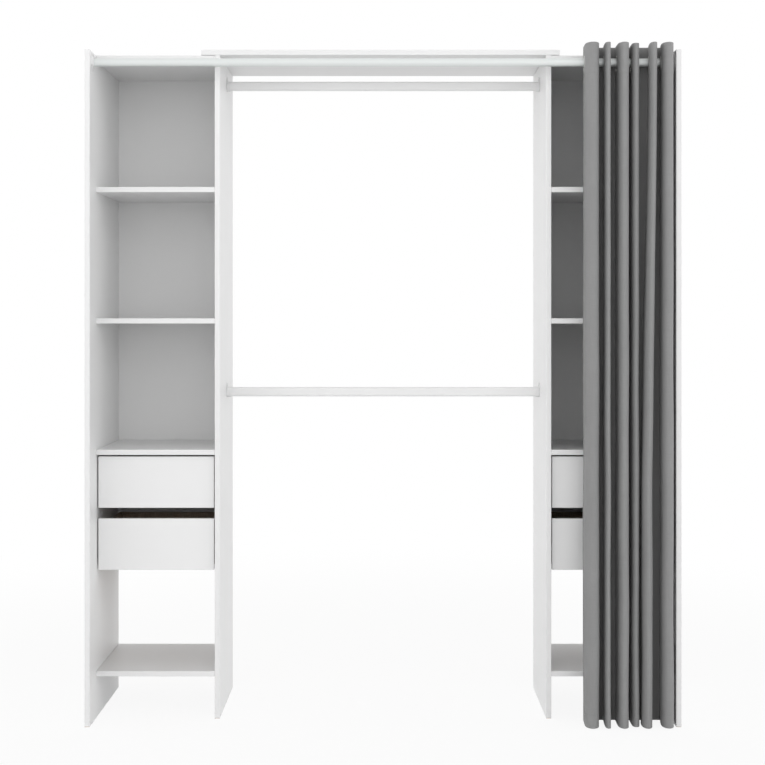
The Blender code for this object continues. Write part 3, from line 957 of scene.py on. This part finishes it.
# %% Recipes
class Recipe(Graph):
    """A Geometry Nodes tree that takes a geometry, some named sizes and a material."""

    def __init__(self, name, *lengths, **others):
        super().__init__(bpy.data.node_groups.new(name, "GeometryNodeTree"))
        face = self.tree.interface
        sizes = {**dict.fromkeys(lengths, "Float"), **others}
        for label, kind in {"Geometry": "Geometry", **sizes, "Material": "Material"}.items():
            face.new_socket(label.replace("_", " "), in_out="INPUT", socket_type="NodeSocket" + kind)
        face.new_socket("Geometry", in_out="OUTPUT", socket_type="NodeSocketGeometry")
        sockets = self.tree.nodes.new("NodeGroupInput").outputs[:-1]
        self.geometry, *self.sizes, self.material = [Field(self, socket) for socket in sockets]

    def vector(self, **sizes):
        """A vector of the sizes given for X, Y and Z, and 0 for the others."""
        return self.node("ShaderNodeCombineXYZ", sizes)

    def close(self, geometry):
        """Ends the tree: instances become real and take the material given."""
        real = self.node("GeometryNodeRealizeInstances", {"Geometry": geometry})
        painted = self.node("GeometryNodeSetMaterial", {"Geometry": real, "Material": self.material})
        end = self.tree.nodes.new("NodeGroupOutput")
        self.feed(end.inputs["Geometry"], painted)

    def spread(self, points, instance, way):
        """Ends the tree with an instance on every point, its Z axis turned to the point's way."""
        turn = self.node("FunctionNodeAlignRotationToVector", {"Vector": way}, axis="Z")
        sockets = {"Points": points, "Instance": instance, "Rotation": turn}
        self.close(self.node("GeometryNodeInstanceOnPoints", sockets))


print("a recipe's sizes come in the order given")


# %% How a mesh is grown from a recipe
def grown(recipe, carrier_mesh, values):
    """The plain mesh that a recipe makes from a carrier mesh and its inputs' values."""
    carrier = put("carrier", carrier_mesh)
    modifier = carrier.modifiers.new("recipe", "NODES")
    modifier.node_group = recipe.tree
    for item in recipe.tree.interface.items_tree:
        if item.in_out == "INPUT" and item.name in values:
            modifier[item.identifier] = values[item.name]
    graph = bpy.context.evaluated_depsgraph_get()
    mesh = bpy.data.meshes.new_from_object(carrier.evaluated_get(graph), depsgraph=graph)
    bpy.data.objects.remove(carrier)
    return mesh


print("a recipe's inputs are set by their identifiers")

# %% [markdown]
# ## Eyelets
#
# An eyelet is a ring of pressed metal, rolled over both sides of the cloth.
# It is a closed oval profile swept round a circle. The recipe makes one ring
# that lies round the Z axis, and it is then turned to stand in its wall.

# %% A recipe for a ring
rings = Recipe("eyelet_ring", "Bore", "Rim", "Thickness", Sides="Int", Profile_Sides="Int")
bore, rim, rim_thickness, sides, profile_sides = rings.sizes
circle = "GeometryNodeCurvePrimitiveCircle"
ring_line = rings.node(circle, {"Resolution": sides, "Radius": (bore + rim) * 0.5})
profile = rings.node(circle, {"Resolution": profile_sides, "Radius": 0.5})
profile_size = rings.vector(X=rim, Y=rim_thickness, Z=1.0)
oval = rings.node("GeometryNodeTransform", {"Geometry": profile, "Scale": profile_size})
swept = rings.node("GeometryNodeCurveToMesh", {"Curve": ring_line, "Profile Curve": oval})
rings.close(rings.node("GeometryNodeSetShadeSmooth", {"Geometry": swept}))
print("ring recipe of", len(rings.tree.nodes), "nodes")

# %% Twelve eyelets
ring_sizes = {
    "Bore": eyelet_bore,
    "Rim": 0.0075,
    "Thickness": 0.0045,
    "Sides": 48,
    "Profile Sides": 14,
    "Material": nickel,
}
for half in halves:
    ring = grown(rings, bpy.data.meshes.new("empty"), ring_sizes)
    stand = Matrix.Rotation(half.turn, 4, "Z") @ Matrix.Rotation(math.pi / 2, 4, "Y")
    ring.transform(Matrix.Translation(half.eyelet) @ stand)
    half.ring = put("eyelet_" + half.name, ring)
print(len(halves), "rings of", len(ring.polygons), "faces")

# %% [markdown]
# ## Stitches
#
# Two seams run across the curtain, over the bottom hem and under the heading,
# and one runs up each side hem. The seam's line comes from the cloth's grid,
# a little above its surface. The recipe measures out the line at the stitch
# pitch and lays a short piece of thread along it at every step.

# %% A recipe for stitches
stitch_sides = 6

seams = Recipe("stitches", "Pitch", "Stitch Length", "Thread")
pitch, stitch_length, stitch_width = seams.sizes
seam = seams.node("GeometryNodeMeshToCurve", {"Mesh": seams.geometry})
steps = seams.node("GeometryNodeResampleCurve", {"Curve": seam, "Length": pitch}, mode="LENGTH")
stitch_size = {"Vertices": stitch_sides, "Radius": stitch_width * 0.5, "Depth": stitch_length}
stitch = seams.node("GeometryNodeMeshCylinder", stitch_size)
seams.spread(steps, stitch, seams.node("GeometryNodeInputTangent"))
print("stitch recipe of", len(seams.tree.nodes), "nodes")

# %% Lines for the seams
thread = 0.0005
raised = grid + normals * (front_skin + thread / 4)[:, :, None]


def seam_lines(first):
    """The seams of one half fold, as rows of points just above the cloth."""
    columns = slice(first, first + half_columns + 1)
    rows = [int(np.argmin(abs(heights - line))) for line in (hem_line, heading_line)]
    lines = [raised[row, columns] for row in rows]
    for place in (side_hem, across[-1] - side_hem):
        column = int(np.argmin(abs(across - place)))
        if first <= column <= first + half_columns:
            lines.append(raised[:, column])
    return lines


def line_mesh(lines):
    """A mesh of loose lines for a recipe to follow."""
    points, edges = [], []
    for line in lines:
        edges += [(len(points) + i, len(points) + i + 1) for i in range(len(line) - 1)]
        points += [tuple(p) for p in line]
    mesh = bpy.data.meshes.new("lines")
    mesh.from_pydata(points, edges, [])
    return mesh


print("seams in the first half fold:", len(seam_lines(0)))

# %% Sew the hems
stitch_sizes = {"Pitch": 0.0034, "Stitch Length": 0.0025, "Thread": thread, "Material": sewing.material}
for half in halves:
    stitches = grown(seams, line_mesh(seam_lines(half.first)), stitch_sizes)
    half.stitches = put("stitches_" + half.name, stitches)
print(sum(len(half.stitches.data.vertices) for half in halves) // (2 * stitch_sides), "stitches")

# %% [markdown]
# ## Cams, screws and pins
#
# The fixed boards are drawn tight by cams: zinc discs with a cross slot, a
# little below the surface, on the side of each board that isn't seen. Screws
# hold the brackets, the sockets and the top board, and small pins hold the
# backs. All are one recipe: a head, with or without a cross slot, put on
# every point and turned to the way that the point faces.

# %% A recipe for heads: the head and its cross slot
lengths = ("Top Radius", "Foot Radius", "Height", "Slot Length", "Slot Width", "Slot Depth")
heads = Recipe("heads", *lengths, Slotted="Bool", Sides="Int")
top_radius, foot_radius, height, slot_length, slot_width, slot_depth, slotted, sides = heads.sizes
cone = {"Vertices": sides, "Radius Top": top_radius, "Radius Bottom": foot_radius, "Depth": height}
plain_head = heads.node("GeometryNodeMeshCone", cone)
to_top = heads.vector(Z=height)
slotted_head = plain_head
for bar_x, bar_y in ((slot_length, slot_width), (slot_width, slot_length)):
    bar_size = heads.vector(X=bar_x, Y=bar_y, Z=slot_depth * 2)
    bar = heads.node("GeometryNodeMeshCube", {"Size": bar_size})
    cutter = heads.node("GeometryNodeTransform", {"Geometry": bar, "Translation": to_top})
    meshes = {"Mesh 1": slotted_head, "Mesh 2": cutter}
    slotted_head = heads.node("GeometryNodeMeshBoolean", meshes, operation="DIFFERENCE")
print("head and cross slot of", len(heads.tree.nodes), "nodes")

# %% A recipe for heads: on every point, with its top flush
choice = {"Switch": slotted, "False": plain_head, "True": slotted_head}
head = heads.node("GeometryNodeSwitch", choice, input_type="GEOMETRY")
drop = heads.vector(Z=0 - height)
seated_head = heads.node("GeometryNodeTransform", {"Geometry": head, "Translation": drop})
way = heads.node("GeometryNodeInputNamedAttribute", {"Name": "way"}, data_type="FLOAT_VECTOR")
heads.spread(heads.geometry, seated_head, way)
print("head recipe of", len(heads.tree.nodes), "nodes")

# %% Heads on spots
UP, DOWN, BACK = (0, 0, 1), (0, 0, -1), (0, 1, 0)


def point_mesh(spots):
    """A mesh of loose points, each with the way that it faces."""
    mesh = bpy.data.meshes.new("points")
    mesh.from_pydata([place for place, _ in spots], [], [])
    ways = mesh.attributes.new("way", "FLOAT_VECTOR", "POINT")
    ways.data.foreach_set("vector", [c for _, way in spots for c in way])
    return mesh


def add_heads(name, spots, sizes):
    """One piece of zinc with a head of some sizes on every (place, way)."""
    piece = put(name, grown(heads, point_mesh(spots), {**sizes, "Material": zinc}))
    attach(piece, "frame")
    print(name, len(spots))


print("a head can face up", UP, "down", DOWN, "or back", BACK)

# %% Cams in the fixed boards
cam_end_distance = 0.034
cam_edge_distance = 0.050
cam_sink = 0.0008
cam_ways = dict.fromkeys(("top_panel", "shelf_upper", "shelf_middle"), UP)
cam_ways |= dict.fromkeys(("shelf_lower", "shelf_bottom"), DOWN)
words = ("left", "right")

spots = []
for word in words:
    for part, way in cam_ways.items():
        low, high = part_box(f"{word}_{part}")
        z = high.z - cam_sink if way == UP else low.z + cam_sink
        for x in (low.x + cam_end_distance, high.x - cam_end_distance):
            spots += [((x, y, z), way) for y in (low.y + cam_edge_distance, high.y - cam_edge_distance)]
cam = {"Top Radius": 0.0073, "Foot Radius": 0.0073, "Height": 0.0115, "Sides": 32}
cam |= {"Slotted": True, "Slot Length": 0.0085, "Slot Width": 0.0018, "Slot Depth": 0.003}
add_heads("cams", spots, cam)

# %% Screws in brackets, sockets and the top board
bracket_plate = 0.0025
bracket_screw_drop = 0.0096
socket_flange = 0.002
socket_screw_reach = 0.02146


def facing_in(face, places):
    """Screws at (y, z) places on the faces at x = face and x = -face, which look at the gap."""
    return [((-side * face, y, z), (-side, 0, 0)) for side in (-1, 1) for y, z in places]


spots = []
for rod in ("upper_rod", "lower_rod"):
    low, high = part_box(rod + "_bracket_left")
    spots += facing_in(low.x + bracket_plate, [((low.y + high.y) / 2, high.z - bracket_screw_drop)])

low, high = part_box("rail_socket_left")
middle = (low + high) / 2
radii = (socket_screw_reach, socket_screw_reach)
places = arc((middle.y, middle.z), radii, math.pi / 2, math.pi / 2 + math.tau, 3)
spots += facing_in(low.x + socket_flange, places)

low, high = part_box("top_board")
for word in words:
    x = sum(corner.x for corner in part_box(word + "_divider")) / 2
    spots += [((x, y, high.z), UP) for y in (low.y + cam_edge_distance, high.y - cam_edge_distance)]
screw = {"Top Radius": 0.0039, "Foot Radius": 0.0022, "Height": 0.0018, "Sides": 20}
screw |= {"Slotted": True, "Slot Length": 0.0042, "Slot Width": 0.0009, "Slot Depth": 0.0012}
add_heads("screws", spots, screw)

# %% Pins round the backs
pin_pitch = 0.15
pin_inset = 0.006
pin = {"Top Radius": 0.0018, "Foot Radius": 0.0022, "Height": 0.0009, "Sides": 12, "Slotted": False}
pin_proud = pin["Height"] / 3

spots = []
for word in words:
    low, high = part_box(word + "_back_panel")
    bottom, top = low.z + pin_inset, high.z - pin_inset
    count = round((top - bottom) / pin_pitch) + 1
    for x in (low.x + pin_inset, high.x - pin_inset):
        spots += [((x, high.y + pin_proud, z), BACK) for z in np.linspace(bottom, top, count)]
add_heads("back_pins", spots, pin)

# %% [markdown]
# ## Hanging the curtain on its bodies
#
# The bodies slide along the rail. The first and the last half of the
# curtain have no neighbour, so they ride on their own fold's body. The other
# halves, with their rings and stitches, are hung on no body: their
# transforms are applied to their meshes, and they stay where they are.

# %% Ride or stay in place
bodies = [f"curtain_{number + 1}" for number in range(fold_count)]


def hang(part, number, side):
    """Lets a part at either end of the curtain ride on its fold's body; any other part keeps its place,
    with its transform applied to its mesh.
    """
    neighbour = number - side
    if not 0 <= neighbour < fold_count:
        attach(part, bodies[number])
    elif side > 0:
        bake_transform(part)
    else:
        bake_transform(part)


for half in halves:
    for part in (half.piece, half.ring, half.stitches):
        hang(part, half.fold, half.side)

for half in halves:
    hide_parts(f"curtain_fold_{half.fold + 1}")
print(len(halves), "hung sheets")

# %% [markdown]
# ## The dressed model's box
#
# The dressed model has to keep the CAD model's box. The last call measures
# the box of what is rendered, leaving out the floor.

# %% Finish
low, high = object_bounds()
